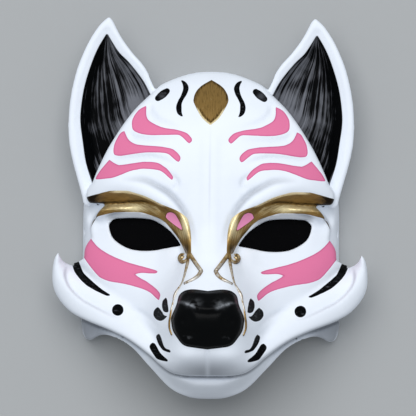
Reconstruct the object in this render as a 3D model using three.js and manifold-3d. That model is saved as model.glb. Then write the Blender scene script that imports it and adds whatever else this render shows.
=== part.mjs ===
// Kitsune mask: a hollow cast fox face with cupped ears, curled cheek tufts and a hinged-looking fixed lower jaw,
// and a dark screen set behind each eye opening.
// It lies on its flat rear rim: +Z points out of the face, +Y to the ears, and the origin is on the rim plane.
import * as THREE from "three";
import { mergeVertices } from "three/addons/utils/BufferGeometryUtils.js";
import Module from "manifold-3d";

const wasm = await Module();
wasm.setup();

// Driving sizes, in millimetres
const maskHeight = 268; // chin to ear tips
const wallThickness = 4; // of the cast shell
const tuftThickness = 7; // where a cheek tuft stands free of the shell
const earThickness = 5;
const screenThickness = 1.8; // measured along Z, and less across the slope
const screenLap = 4; // how far a screen runs past its eye opening, behind the wall
const screenGap = 0.6; // along Z, between a screen and the wall that it is glued to
const cordHoleDiameter = 3.6;
const cordHoleFromRim = 8;

// Facet sizes, in millimetres
const faceFacet = 5.8;
const earFacet = 7;

// The carving is drawn on a grid of squares, with x from the mirror line and y and z in the same squares
const gridHeight = 381;
const unit = maskHeight / gridHeight;

// Grid squares to the millimetre sizes above
const wall = wallThickness / unit;

// Smooth points through knots that hold any number of values each
function smooth(knots, pieces = 4) {
  const points = [];
  for (let i = 0; i < knots.length - 1; i++) {
    const before = knots[Math.max(i - 1, 0)];
    const after = knots[Math.min(i + 2, knots.length - 1)];
    for (let p = 0; p < pieces; p++) {
      const t = p / pieces;
      points.push(
        knots[i].map((from, c) => {
          const to = knots[i + 1][c];
          const leave = (to - before[c]) / 2;
          const arrive = (after[c] - from) / 2;
          const bend = 3 * (to - from) - 2 * leave - arrive;
          const twist = 2 * (from - to) + leave + arrive;
          return from + t * (leave + t * (bend + t * twist));
        }),
      );
    }
  }
  points.push(knots[knots.length - 1].slice());
  return points;
}

// An outline is made of runs: smooth inside a run, with a corner where two runs meet
const trace = (...runs) => runs.flatMap((run) => smooth(run, 2).slice(0, -1));
const mirrored = (points) => points.map(([x, y]) => [-x, y]).reverse();

// Values of a profile, given as knots [place, value, ...], at one place
function profile(knots) {
  const points = smooth(knots, 6);
  return (place, column = 1) => {
    const falling = points[0][0] > points[points.length - 1][0];
    const list = falling ? [...points].reverse() : points;
    if (place <= list[0][0]) return list[0][column];
    for (let i = 1; i < list.length; i++) {
      const [a, b] = [list[i - 1], list[i]];
      if (place <= b[0]) {
        return a[column] + ((place - a[0]) / (b[0] - a[0])) * (b[column] - a[column]);
      }
    }
    return list[list.length - 1][column];
  };
}

// Where a point lies against a line: off is its distance, positive on the line's left, and values are the knots' own
function against(line, x, y) {
  let best = { squared: Infinity };
  for (let i = 1; i < line.length; i++) {
    const [a, b] = [line[i - 1], line[i]];
    const [dx, dy] = [b[0] - a[0], b[1] - a[1]];
    const share = ((x - a[0]) * dx + (y - a[1]) * dy) / (dx * dx + dy * dy);
    const t = Math.min(Math.max(share, 0), 1);
    const [px, py] = [x - a[0] - t * dx, y - a[1] - t * dy];
    const squared = px * px + py * py;
    if (squared < best.squared) best = { squared, a, b, t, side: dx * py - dy * px };
  }
  const values = best.a.map((value, c) => value + best.t * (best.b[c] - value));
  return { off: Math.sqrt(best.squared) * Math.sign(best.side), values };
}

// Distance to a closed outline, positive inside
function depthInside(outline, x, y) {
  let squared = Infinity;
  let inside = false;
  for (let i = 0, j = outline.length - 1; i < outline.length; j = i++) {
    const [ax, ay] = outline[j];
    const [bx, by] = outline[i];
    const [dx, dy] = [bx - ax, by - ay];
    const length = dx * dx + dy * dy || 1;
    const t = Math.min(Math.max(((x - ax) * dx + (y - ay) * dy) / length, 0), 1);
    squared = Math.min(squared, (x - ax - t * dx) ** 2 + (y - ay - t * dy) ** 2);
    if (ay > y !== by > y && x < ((ax - bx) * (y - by)) / (ay - by) + bx) inside = !inside;
  }
  return inside ? Math.sqrt(squared) : -Math.sqrt(squared);
}

const blend = (t) => {
  const s = Math.min(Math.max(t, 0), 1);
  return s * s * (3 - 2 * s);
};
const bell = (t) => Math.exp(-t * t);
const softMax = (a, b, soft) => {
  const h = Math.max(soft - Math.abs(a - b), 0) / soft;
  return Math.max(a, b) + (h * h * soft) / 4;
};

// Outlines of the right half, from the top downwards

const crown = [[0, 137.7], [11, 137.1], [21, 135.3], [31, 132.2], [41, 128.1], [51, 123], [55.9, 117.9]];
const earSeam = [
  [55.9, 117.9], [67.8, 106.8], [75.7, 98.7], [83.6, 88.6], [90.5, 78.6],
  [97.4, 67.5], [103.3, 57.4], [110.2, 43.3], [115, 32.3], [118, 24.3],
];
const browTip = [[118, 24.3], [121.9, 19.2], [123.8, 14.2], [123.8, 9.2], [121.8, 5.2], [118.8, 3.8], [103.7, 3.4]];
const temple = [[103.7, 3.4], [111.7, -4.7], [118, -15.7], [119.9, -21.8], [118.8, -30.8]];
const cheekEdge = [[118.8, -30.8], [123.2, -36.8], [125.7, -42.8], [126.2, -51.3]];
const tuftNotch = [[126.2, -51.3], [134.1, -54.9], [142.1, -55], [149.2, -49.1], [151.7, -46.1]];
const tuftBack = [
  [151.7, -46.1], [155.2, -50.1], [157.1, -58.2], [158, -66.2], [157.9, -75.2],
  [155.8, -84.1], [151.7, -91.6], [146.7, -98], [138.6, -105.5], [129.9, -110.4],
];
const mouthLine = [
  [129.9, -110.4], [118.5, -115.3], [98.4, -123], [78.3, -132.8], [58.1, -147.4],
  [48.1, -157.5], [38, -164.9], [28, -167.8], [17.9, -169], [0, -169],
];
const shellTop = { halfWidth: 128.5, reach: 144, middle: -10 };
// How far each point of the side stands out from the top's half width
const shellSideStep = [[0, -10], [0, -60], [1, -105], [-0.1, -123.9], [-4.2, -132]];
const shellSide = [...shellSideStep.map(([out, y]) => [shellTop.halfWidth + out, y]), [118.3, -132.8]];
const jawEdge = [
  [118.3, -132.8], [109.4, -128.2], [98.4, -129], [78.2, -139.3], [58, -160.1],
  [37.8, -180.4], [17.7, -189.2], [0, -190.5],
];
const earOuter = [
  [128.9, 15.2], [132, 29.1], [138.2, 47], [142.4, 67], [143.1, 89], [140.9, 112],
  [135.2, 137.1], [127.4, 157.2], [119.5, 172.3], [111.6, 183.3], [103.7, 190.5],
];
const earInner = [
  [103.7, 190.5], [99.7, 187.5], [93.5, 175.5], [87.4, 165.6], [78.3, 153.7],
  [70.2, 144.8], [64.1, 135.8], [60, 125.9], [55.9, 117.9],
];
const earRoot = [[55.9, 117.9], [52, 108], [84, 66], [106, 20], [128.9, 15.2]];
const cupOuter = [
  [119, 24.8], [125.2, 44.2], [128.4, 64.2], [131.1, 85.1], [130.3, 102],
  [127, 122], [120.2, 144.3], [113.4, 160.3], [105, 174.4],
];
const cupInner = [[105, 174.4], [98.5, 163.5], [92.3, 154.5], [83.2, 145.6], [74.1, 134.7], [67, 124.8], [60.9, 112.9]];
const eyeUpper = [
  [28.2, -37.8], [38.9, -23.9], [54.1, -13.6], [64.2, -11.2], [77.2, -10.5],
  [87.2, -10.9], [96.2, -12], [101.7, -17.6],
];
const eyeLower = [[101.7, -17.6], [96.7, -30.5], [78.6, -40.1], [58.6, -42], [43.7, -40.6], [28.2, -37.8]];
const nosePad = [
  [0, -82.5], [8, -81.1], [16, -80.8], [24, -82.2], [29.3, -90.8], [35.2, -107.9], [35.8, -113.9],
  [31.5, -128.9], [24.4, -137.3], [9.4, -139.3], [0, -140.3],
];

const closeAcross = (half) => [...half, ...mirrored(half).slice(1, -1)];

// The rim's upper half is half an ellipse, from the crown to the widest point
function shellArch(steps = 18) {
  const points = [];
  for (let i = 0; i < steps; i++) {
    const turn = (i / steps) * (Math.PI / 2);
    points.push([
      shellTop.halfWidth * Math.sin(turn),
      shellTop.middle + shellTop.reach * Math.cos(turn),
    ]);
  }
  return points;
}

const shellCentre = [0, -20];
const faceOutline = closeAcross([
  ...trace(crown, earSeam, browTip, temple, cheekEdge, tuftNotch, tuftBack, mouthLine),
  mouthLine[mouthLine.length - 1],
]);
const shellOutline = closeAcross([
  ...shellArch(),
  ...trace(shellSide, jawEdge),
  jawEdge[jawEdge.length - 1],
]);
const earOutline = trace(earOuter, earInner, earRoot);
const cupOutline = [...trace(cupOuter, cupInner), [52, 104], [106, 18]];
const eyeOutline = trace(eyeUpper, eyeLower);
const noseOutline = closeAcross(smooth(nosePad));

// Forms of the carving

const skull = { halfWidth: 148, up: 118, down: 260, middle: 25, depth: 102 };
const shellDepth = 84;
const jaw = { depth: 126, halfWidth: 130, power: 1.25, round: 16, drop: 24, top: -100, dip: 15, dipWidth: 52 };
const rearEdge = { height: 62, run: 70, top: -95, fade: 30 };

// Knots [y, rise above the skull, half width]
const muzzle = profile([
  [40, 0, 14], [0, 4, 15], [-25, 9, 17], [-50, 23, 20], [-70, 45, 26], [-85, 66, 31],
  [-100, 80, 35], [-115, 84, 38], [-130, 81, 39], [-150, 76, 42], [-172, 70, 46],
]);
const muzzleShoulder = { width: 1.3, power: 4.5 };
const eyeHollow = { x: 78, y: -34, halfWidth: 40, halfHeight: 30, depth: 14 };

// Knots [x, y, rise, half width] of the white brow, from its outer tip to the bridge
const browCrest = smooth([
  [120, 14, 1, 8], [112, 17, 3, 9], [98, 22, 5, 10], [80, 22, 6, 11], [62, 15, 6, 11],
  [46, 6, 5.5, 8], [34, -1, 5, 6], [26, -9, 4.5, 5], [22, -20, 4, 4], [20, -34, 3, 3.5], [19, -46, 1, 3],
]);
// Knots [x, y, depth, width of the fall] of the gilded edge, with the socket on its left
const browEdge = smooth([
  [123.3, 9.2, 3, 8], [104.9, 14.4, 14, 11], [84.7, 15.6, 20, 11], [69.7, 12.5, 22, 9.5], [60, 8.6, 21, 7],
  [49.5, 3.2, 20, 6], [39, -3.6, 19, 6], [31.6, -10.4, 17, 6], [26.6, -19, 15, 6], [23.4, -31, 13, 6],
  [22, -45, 10, 7], [24.5, -60, 6, 8], [30, -78, 0, 8],
].reverse()).reverse();
const socketReach = 45;
// Knots [x, y, rise, half width] of the gilded roll over the lid
const lidRoll = smooth([
  [108, -4, 4, 4], [97, -2, 5, 4.2], [84, -1, 5.5, 4.2], [74, -1, 5.5, 4.2], [62, -2.5, 5.5, 4.4],
  [50, -7, 5, 4.8], [42, -12, 4, 5], [34, -20, 2, 5], [28, -31, 0, 4],
]);
const lidEdge = smooth([
  [112.6, -10.2], [97.5, -5.5], [84.5, -4.4], [74.5, -4.5], [64.4, -5.7], [54.3, -8.6],
  [46.2, -13], [39.1, -18.4], [31.9, -25.8], [26.8, -32.8], [23.7, -40.8],
]);
const lid = { fall: 5, depth: 8, reach: 12 };
// Knots [x, y, height, half width] of the jowl, from the lip to the tip of the tuft
const jowl = smooth([
  [30, -156, 140, 14], [45, -148, 127, 16], [62, -136, 110, 18], [85, -119, 90, 19],
  [108, -104, 74, 18], [130, -90, 63, 16], [146, -74, 58, 12], [153, -58, 58, 7], [151.7, -46, 61, 3],
]);
const jowlCrown = 9;
// Knots [x, y, share] of the edge of the tuft's upper lock
const tuftLock = smooth([
  [144, -58, 0], [146, -67, 1], [143.5, -77, 1], [137, -86, 1], [127, -94.5, 1],
  [117, -100, 1], [106, -105.5, 0.8], [97, -110, 0.4], [88, -113, 0],
]);
const lock = { fall: 2.5, depth: 4, reach: 11 };
const nose = { rise: 4, edge: 6 };
const lip = { x: 21, y: -152, halfWidth: 15, halfHeight: 11, rise: 4 };
const lipFall = { top: -140, run: 32, depth: 20, halfWidth: 78, fade: 40 };
const cutter = { height: 200, drop: 20 };
const ear = { rim: 42, cup: 15, edge: 11, crown: 9, tipLean: 0.04 };

function skullHeight(a, y) {
  const reach = y > skull.middle ? skull.up : skull.down;
  const inside = 1 - (a / skull.halfWidth) ** 2 - ((y - skull.middle) / reach) ** 2;
  return skull.depth * Math.sqrt(Math.max(inside, 0));
}

// Height of the carved face over the rim plane
function faceHeight(x, y) {
  const a = Math.abs(x);
  const across = a / muzzle(y, 2) / muzzleShoulder.width;
  let z = skullHeight(a, y) + muzzle(y) / (1 + across ** muzzleShoulder.power);
  z -= eyeHollow.depth * bell((a - eyeHollow.x) / eyeHollow.halfWidth) * bell((y - eyeHollow.y) / eyeHollow.halfHeight);
  const crest = against(browCrest, a, y);
  z += crest.values[2] * bell(crest.off / crest.values[3]);
  const edge = against(browEdge, a, y);
  z -= edge.values[2] * blend(edge.off / edge.values[3]) * bell(edge.off / socketReach);
  const roll = against(lidRoll, a, y);
  z += roll.values[2] * bell(roll.off / roll.values[3]);
  const rim = against(lidEdge, a, y).off;
  z -= lid.depth * blend(rim / lid.fall) * bell(rim / lid.reach);
  const band = against(jowl, a, y);
  z = softMax(z, band.values[2] - jowlCrown * (band.off / band.values[3]) ** 2, 8);
  const step = against(tuftLock, a, y);
  z -= lock.depth * step.values[2] * blend(-step.off / lock.fall) * bell(step.off / lock.reach);
  z += nose.rise * blend(depthInside(noseOutline, a, y) / nose.edge);
  z += lip.rise * bell((a - lip.x) / lip.halfWidth) * bell((y - lip.y) / lip.halfHeight);
  const under = blend((lipFall.top - y) / lipFall.run) ** 1.4;
  z -= lipFall.depth * under * blend((lipFall.halfWidth - a) / lipFall.fade);
  return z;
}

// Height of the plain shell under the face: temples, side walls and lower jaw
function shellHeight(x, y) {
  const a = Math.abs(x);
  const up = Math.max(y - shellTop.middle, 0) / shellTop.reach;
  const dome = shellDepth * Math.sqrt(Math.max(1 - (a / shellTop.halfWidth) ** 2 - up * up, 0));
  if (y > jaw.top) return dome;
  const chin = jaw.depth * Math.max(1 - (a / jaw.halfWidth) ** 2, 0) ** jaw.power - jaw.dip * bell(a / jaw.dipWidth);
  const border = 1 - blend(depthInside(shellOutline, a, y) / jaw.round);
  return softMax(dome, chin, 6) - jaw.drop * border * blend((jaw.halfWidth - 10 - a) / 30);
}

// The lower edge rises from the rim plane at the corners of the jaw to the chin
const rearHeight = (x, y) =>
  rearEdge.height
  * blend((shellTop.halfWidth - Math.abs(x)) / rearEdge.run)
  * blend((rearEdge.top - y) / rearEdge.fade);

const outerHeight = (x, y) => {
  if (depthInside(shellOutline, x, y) < 0) return -Infinity;
  const shell = shellHeight(x, y);
  return depthInside(faceOutline, x, y) < 0 ? shell : Math.max(shell, faceHeight(x, y));
};

// Height of a surface that runs inside the outer one at a constant distance, found with a ball of that radius
function innerHeight(x, y, distance, rings = 2, spokes = 8) {
  let low = outerHeight(x, y) - distance;
  for (let ring = 1; ring <= rings; ring++) {
    const radius = (distance * ring) / (rings + 0.25);
    const rise = Math.sqrt(distance * distance - radius * radius);
    for (let spoke = 0; spoke < spokes; spoke++) {
      const turn = (2 * Math.PI * (spoke + ring / 2)) / spokes;
      low = Math.min(low, outerHeight(x + radius * Math.cos(turn), y + radius * Math.sin(turn)) - rise);
    }
  }
  return low;
}

function earFront(x, y) {
  const rim = ear.rim + ear.tipLean * y;
  return rim - ear.cup * blend(depthInside(cupOutline, x, y) / ear.edge);
}

function earBack(x, y) {
  const crown = ear.crown * blend(depthInside(earOutline, x, y) / (2 * ear.edge));
  return earFront(x, y) - earThickness / unit - crown * (1 - blend(depthInside(cupOutline, x, y) / ear.edge));
}

// Solids

function solidOf(geometry) {
  geometry.deleteAttribute("normal");
  geometry.deleteAttribute("uv");
  const merged = mergeVertices(geometry, 1e-4);
  return new wasm.Manifold(
    new wasm.Mesh({
      numProp: 3,
      vertProperties: new Float32Array(merged.attributes.position.array),
      triVerts: new Uint32Array(merged.index.array),
    }),
  );
}

// A point of the grid moves onto a feature line that passes close by, so that the facets keep the feature's edge
function pulled(lines, x, y, reach) {
  for (const line of lines) {
    const { off, values } = against(line, Math.abs(x), y);
    if (Math.abs(off) < reach) return [Math.sign(x) * values[0], values[1]];
  }
  return [x, y];
}

// A block between two height functions, over a box of grid squares that is symmetrical about its middle
function block({ from, to, facet, top, bottom, lines = [] }) {
  const columns = 2 * Math.ceil(((to[0] - from[0]) * unit) / facet / 2);
  const rows = Math.ceil(((to[1] - from[1]) * unit) / facet);
  const places = [];
  for (let j = 0; j <= rows; j++) {
    for (let i = 0; i <= columns; i++) {
      const x = from[0] + ((to[0] - from[0]) * i) / columns;
      const y = from[1] + ((to[1] - from[1]) * j) / rows;
      places.push(pulled(lines, x, y, (0.55 * facet) / unit));
    }
  }
  const positions = [top, bottom].flatMap((height) =>
    places.flatMap(([x, y]) => [x * unit, y * unit, height(x, y) * unit]),
  );
  const layer = (columns + 1) * (rows + 1);
  const at = (i, j) => j * (columns + 1) + i;
  const index = [];
  const quad = (a, b, c, d) => index.push(a, b, c, a, c, d);
  for (let j = 0; j < rows; j++) {
    for (let i = 0; i < columns; i++) {
      const corners = [at(i, j), at(i + 1, j), at(i + 1, j + 1), at(i, j + 1)];
      const turned = i < columns / 2 ? corners : [corners[1], corners[2], corners[3], corners[0]];
      quad(...turned);
      quad(...turned.map((c) => c + layer).reverse());
    }
  }
  for (let i = 0; i < columns; i++) {
    quad(at(i, 0), at(i, 0) + layer, at(i + 1, 0) + layer, at(i + 1, 0));
    quad(at(i + 1, rows), at(i + 1, rows) + layer, at(i, rows) + layer, at(i, rows));
  }
  for (let j = 0; j < rows; j++) {
    quad(at(0, j + 1), at(0, j + 1) + layer, at(0, j) + layer, at(0, j));
    quad(at(columns, j), at(columns, j) + layer, at(columns, j + 1) + layer, at(columns, j + 1));
  }
  const geometry = new THREE.BufferGeometry();
  geometry.setAttribute("position", new THREE.Float32BufferAttribute(positions, 3));
  geometry.setIndex(index);
  return solidOf(geometry);
}

// A block over an outline that can be seen whole from its centre, in rings at shares of the way out to the outline
function fan({ outline, centre, shares, top, bottom }) {
  const places = [centre];
  for (const share of shares) {
    for (const [x, y] of outline) {
      places.push([centre[0] + share * (x - centre[0]), centre[1] + share * (y - centre[1])]);
    }
  }
  const count = outline.length;
  const layer = places.length;
  const at = (ring, spoke) => 1 + ring * count + (spoke % count);
  const positions = [top, bottom].flatMap((height) =>
    places.flatMap(([x, y]) => [x * unit, y * unit, height(x, y) * unit]),
  );
  const index = [];
  const both = (a, b, c) => index.push(a, b, c, a + layer, c + layer, b + layer);
  for (let spoke = 0; spoke < count; spoke++) {
    both(0, at(0, spoke + 1), at(0, spoke));
    const right = outline[spoke][0] + outline[(spoke + 1) % count][0] > 0;
    for (let ring = 0; ring + 1 < shares.length; ring++) {
      const [a, b, c, d] = [at(ring, spoke), at(ring, spoke + 1), at(ring + 1, spoke + 1), at(ring + 1, spoke)];
      both(a, b, right ? c : d);
      both(right ? a : b, c, d);
    }
    const [a, b] = [at(shares.length - 1, spoke), at(shares.length - 1, spoke + 1)];
    index.push(a, b, b + layer, a, b + layer, a + layer);
  }
  const geometry = new THREE.BufferGeometry();
  geometry.setAttribute("position", new THREE.Float32BufferAttribute(positions, 3));
  geometry.setIndex(index);
  return solidOf(geometry);
}

// An outline without its repeated points and the points in the middle of its straight runs
function turningPoints(outline) {
  const kept = [];
  outline.forEach(([x, y], i) => {
    const [bx, by] = kept[kept.length - 1] ?? outline[outline.length - 1];
    const [nx, ny] = outline[(i + 1) % outline.length];
    if (Math.abs((x - bx) * (ny - y) - (y - by) * (nx - x)) > 1e-3) kept.push([x, y]);
  });
  return kept;
}

// The corners of a box around an outline
function around(outline, margin = 4) {
  const [xs, ys] = [0, 1].map((k) => outline.map((point) => point[k]));
  return {
    from: [Math.min(...xs) - margin, Math.min(...ys) - margin],
    to: [Math.max(...xs) + margin, Math.max(...ys) + margin],
  };
}

// An outline drawn out along Z
function prism(outline, low = -cutter.drop, high = cutter.height) {
  const shape = new THREE.Shape(turningPoints(outline).map(([x, y]) => new THREE.Vector2(x * unit, y * unit)));
  const geometry = new THREE.ExtrudeGeometry(shape, { depth: (high - low) * unit, bevelEnabled: false });
  return solidOf(geometry.translate(0, 0, low * unit));
}

// An outline moved inwards, or outwards where the distance is negative, with its points at least the spacing apart
function inset(outline, distance, spacing) {
  const area = outline.reduce((sum, [x, y], i) => {
    const [nx, ny] = outline[(i + 1) % outline.length];
    return sum + x * ny - nx * y;
  }, 0);
  const moved = outline.map(([x, y], i) => {
    const [bx, by] = outline[(i - 1 + outline.length) % outline.length];
    const [nx, ny] = outline[(i + 1) % outline.length];
    const length = Math.hypot(nx - bx, ny - by);
    const inward = (Math.sign(area) * distance) / length;
    return [x - (ny - by) * inward, y + (nx - bx) * inward];
  });
  const clear = moved.filter(([x, y]) => Math.abs(depthInside(outline, x, y)) > Math.abs(distance) * 0.97);
  const half = clear.filter(([x]) => x > -1e-6 || outline[1][0] * outline[outline.length - 1][0] > 0);
  const kept = half.filter(([x, y], i) => i === 0 || Math.hypot(x - half[i - 1][0], y - half[i - 1][1]) > spacing);
  return half.length === clear.length ? kept : closeAcross(kept);
}

const mirrorX = (solid) => solid.mirror([1, 0, 0]);

function castShell() {
  const face = block({
    ...around(faceOutline),
    facet: faceFacet,
    lines: [browEdge, lidEdge, tuftLock],
    top: faceHeight,
    bottom: (x, y) => {
      if (y > 60) return 0;
      const height = faceHeight(x, y);
      if (depthInside(shellOutline, x, y) < 1) return height - tuftThickness / unit;
      return Math.min(Math.max(shellHeight(x, y) - 25, rearHeight(x, y) + 3), height - 1);
    },
  }).intersect(prism(faceOutline));
  const shell = fan({
    outline: shellOutline,
    centre: shellCentre,
    shares: [0.5, 0.7, 0.82, 0.9, 0.95, 0.985, 1],
    top: (x, y) => Math.max(shellHeight(x, y), rearHeight(x, y) + 1),
    bottom: rearHeight,
  });
  const rightEar = block({
    ...around(earOutline),
    facet: earFacet,
    lines: [cupOutline],
    top: earFront,
    bottom: earBack,
  }).intersect(prism(earOutline));
  return face.add(shell).add(rightEar).add(mirrorX(rightEar));
}

// A sheet bent to the lining, from two copies of the cavity that are moved back from the face
function screenBehind(outline) {
  const front = cavity.translate([0, 0, -screenGap]);
  const back = cavity.translate([0, 0, -screenGap - screenThickness]);
  return front.subtract(back).intersect(prism(inset(outline, -screenLap / unit, 3), 10));
}

function cordHole() {
  const drill = new THREE.CylinderGeometry(cordHoleDiameter / 2, cordHoleDiameter / 2, 60 * unit, 16);
  drill.rotateZ(Math.PI / 2);
  return solidOf(drill.toNonIndexed().translate(shellTop.halfWidth * unit, -25 * unit, cordHoleFromRim));
}

const cavity = fan({
  outline: inset(shellOutline, wall, 6),
  centre: shellCentre,
  shares: [0.2, 0.4, 0.56, 0.7, 0.8, 0.87, 0.905, 0.95, 0.985, 1],
  top: (x, y) => Math.max(innerHeight(x, y, wall), -6),
  bottom: () => -10,
});
const eyeOpening = prism(eyeOutline);

const maskShell = castShell()
  .subtract(cavity)
  .subtract(eyeOpening)
  .subtract(mirrorX(eyeOpening))
  .subtract(cordHole())
  .subtract(mirrorX(cordHole()));
const rightScreen = screenBehind(eyeOutline);

const paintedResin = new THREE.MeshStandardMaterial({ name: "painted resin", color: 0xe8eefb, roughness: 0.35 });
const blackScreen = new THREE.MeshStandardMaterial({ name: "black screen", color: 0x050506, roughness: 0.8 });

function meshOf(name, solid, material) {
  const made = solid.getMesh();
  const geometry = new THREE.BufferGeometry();
  geometry.setAttribute("position", new THREE.BufferAttribute(made.vertProperties, 3));
  geometry.setIndex(new THREE.BufferAttribute(made.triVerts, 1));
  const mesh = new THREE.Mesh(geometry, material);
  mesh.name = name;
  return mesh;
}

const mask = new THREE.Group();
mask.add(
  meshOf("mask_shell", maskShell, paintedResin),
  meshOf("eye_screen_right", rightScreen, blackScreen),
  meshOf("eye_screen_left", mirrorX(rightScreen), blackScreen),
);

export default mask;
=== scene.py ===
"""A cast and painted fox mask that lies on its rear rim, with dark screens behind its eyes."""

import math

import bmesh
import bpy
import numpy as np
from bpy.props import FloatProperty, FloatVectorProperty, PointerProperty
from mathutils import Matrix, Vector


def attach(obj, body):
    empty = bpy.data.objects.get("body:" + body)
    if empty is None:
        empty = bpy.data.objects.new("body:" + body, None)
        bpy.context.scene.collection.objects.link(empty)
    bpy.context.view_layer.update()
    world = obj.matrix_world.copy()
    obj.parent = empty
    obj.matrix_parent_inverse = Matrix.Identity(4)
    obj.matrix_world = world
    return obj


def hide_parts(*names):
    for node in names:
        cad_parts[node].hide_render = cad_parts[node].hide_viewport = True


bl_info = {
    "name": "Fox Mask",
    "version": (1, 0, 0),
    "blender": (4, 5, 0),
    "location": "3D View > Sidebar > Mask",
    "description": "Carves and paints a fox mask over its plain solids",
    "category": "Mesh",
}

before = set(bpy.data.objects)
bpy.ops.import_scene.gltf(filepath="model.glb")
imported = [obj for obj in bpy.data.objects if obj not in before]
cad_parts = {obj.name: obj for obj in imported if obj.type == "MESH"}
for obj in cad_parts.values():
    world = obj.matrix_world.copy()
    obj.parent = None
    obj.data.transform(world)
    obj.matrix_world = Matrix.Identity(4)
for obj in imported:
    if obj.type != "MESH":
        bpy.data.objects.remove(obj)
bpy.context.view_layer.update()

# The carving is drawn in squares, with x from the mirror line, y towards the ears and z up from the rear rim
MASK_LENGTH, MASK_SQUARES, VIEW_SQUARES = 0.268, 381, 416
SQUARE = MASK_LENGTH / MASK_SQUARES
MM = 0.001 / SQUARE


# Curves


def smooth(knots, pieces=4):
    """Points of a smooth curve through knots that hold any number of values each."""
    knots = np.array(knots, float)
    points = []
    for i in range(len(knots) - 1):
        start, end = knots[i], knots[i + 1]
        leave = (end - knots[max(i - 1, 0)]) / 2
        arrive = (knots[min(i + 2, len(knots) - 1)] - start) / 2
        bend = 3 * (end - start) - 2 * leave - arrive
        twist = 2 * (start - end) + leave + arrive
        for piece in range(pieces):
            t = piece / pieces
            points.append(start + t * (leave + t * (bend + t * twist)))
    points.append(knots[-1])
    return np.array(points)


def trace(*runs):
    """An outline of runs that are smooth inside and meet at corners."""
    return np.vstack([smooth(run)[:-1] for run in runs])


def loop(knots):
    """A closed smooth outline."""
    return smooth(list(knots) + [knots[0]])[:-1]


def across(half):
    """A half outline closed over the mirror line."""
    other = half[::-1] * [-1, 1]
    keep = np.abs(other[:, 0]) > 0.01
    return np.vstack([half, other[keep]])


def against(line, x, y):
    """Signed distance to a line, positive on its left, and the line's own values at the nearest point."""
    best = np.full(np.shape(x), np.inf)
    side = np.zeros(np.shape(x))
    values = np.zeros((line.shape[1],) + np.shape(x))
    for a, b in zip(line[:-1], line[1:]):
        dx, dy = b[:2] - a[:2]
        t = np.clip(((x - a[0]) * dx + (y - a[1]) * dy) / (dx * dx + dy * dy), 0, 1)
        px, py = x - a[0] - t * dx, y - a[1] - t * dy
        squared = px * px + py * py
        near = squared < best
        best = np.where(near, squared, best)
        side = np.where(near, dx * py - dy * px, side)
        for column in range(line.shape[1]):
            values[column] = np.where(near, a[column] + t * (b[column] - a[column]), values[column])
    return np.sqrt(best) * np.where(side < 0, -1, 1), values


def depth_inside(outline, x, y):
    """Distance to a closed outline, positive inside."""
    best = np.full(np.shape(x), np.inf)
    inside = np.zeros(np.shape(x), bool)
    for a, b in zip(np.roll(outline, 1, axis=0), outline):
        dx, dy = b - a
        t = np.clip(((x - a[0]) * dx + (y - a[1]) * dy) / max(dx * dx + dy * dy, 1e-9), 0, 1)
        best = np.minimum(best, (x - a[0] - t * dx) ** 2 + (y - a[1] - t * dy) ** 2)
        if a[1] != b[1]:
            inside ^= ((a[1] > y) != (b[1] > y)) & (x < (a[0] - b[0]) * (y - b[1]) / (a[1] - b[1]) + b[0])
    return np.where(inside, 1, -1) * np.sqrt(best)


def profile(knots):
    """A table of a smooth profile, from its knots [place, value, ...], with rising places."""
    table = smooth(knots, 6)
    return table[np.argsort(table[:, 0])]


def look_up(table, place, column=1):
    return np.interp(place, table[:, 0], table[:, column])


def blend(t):
    s = np.clip(t, 0, 1)
    return s * s * (3 - 2 * s)


def ramp(t, soft=0.15):
    """A straight ramp from 0 to 1 with slightly rounded ends."""
    return np.clip(t, 0, 1) * (1 - soft) + soft * blend(t)


def bell(t):
    return np.exp(-t * t)


def soft_max(a, b, soft):
    h = np.maximum(soft - np.abs(a - b), 0) / soft
    return np.maximum(a, b) + h * h * soft / 4


def soft_min(a, b, soft):
    return -soft_max(-a, -b, soft)


# Outlines of the right half, from the top downwards

CROWN = [(0, 137.7), (11, 137.1), (21, 135.3), (31, 132.2), (41, 128.1), (51, 123), (55.9, 117.9)]
EAR_SEAM = [
    (55.9, 117.9), (67.8, 106.8), (75.7, 98.7), (83.6, 88.6), (90.5, 78.6),
    (97.4, 67.5), (103.3, 57.4), (110.2, 43.3), (115, 32.3), (118, 24.3),
]
BROW_TIP = [(118, 24.3), (121.9, 19.2), (123.8, 14.2), (123.8, 9.2), (121.8, 5.2), (118.8, 3.8), (103.7, 3.4)]
TEMPLE = [(103.7, 3.4), (111.7, -4.7), (118, -15.7), (119.9, -21.8), (118.8, -30.8)]
CHEEK_EDGE = [(118.8, -30.8), (123.2, -36.8), (125.7, -42.8), (126.2, -51.3)]
TUFT_NOTCH = [(126.2, -51.3), (134.1, -54.9), (142.1, -55), (149.2, -49.1), (151.7, -46.1)]
TUFT_BACK = [
    (151.7, -46.1), (155.2, -50.1), (157.1, -58.2), (158, -66.2), (157.9, -75.2),
    (155.8, -84.1), (151.7, -91.6), (146.7, -98), (138.6, -105.5), (129.9, -110.4),
]
MOUTH_LINE = [
    (129.9, -110.4), (118.5, -115.3), (98.4, -123), (78.3, -132.8), (58.1, -147.4),
    (48.1, -156.4), (38, -163.4), (28, -166.2), (17.9, -167.2), (0, -167.4),
]
SHELL_HALF_WIDTH, SHELL_REACH, SHELL_MIDDLE = 128.5, 144, -10
SHELL_SIDE = [(128.5, -10), (128.5, -60), (129.5, -105), (128.4, -123.9), (124.3, -132), (118.3, -132.8)]
JAW_EDGE = [
    (118.3, -132.8), (109.4, -128.2), (98.4, -129), (78.2, -139.3), (58, -160.1),
    (37.8, -180.4), (17.7, -189.2), (0, -190.5),
]
EAR_OUTER = [
    (127.4, 3), (129.6, 13), (133.8, 28), (139, 47), (142.6, 67), (143.1, 89), (140.9, 112),
    (135.2, 137.1), (127.4, 157.2), (119.5, 172.3), (111.6, 183.3), (103.7, 190.5),
]
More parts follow.
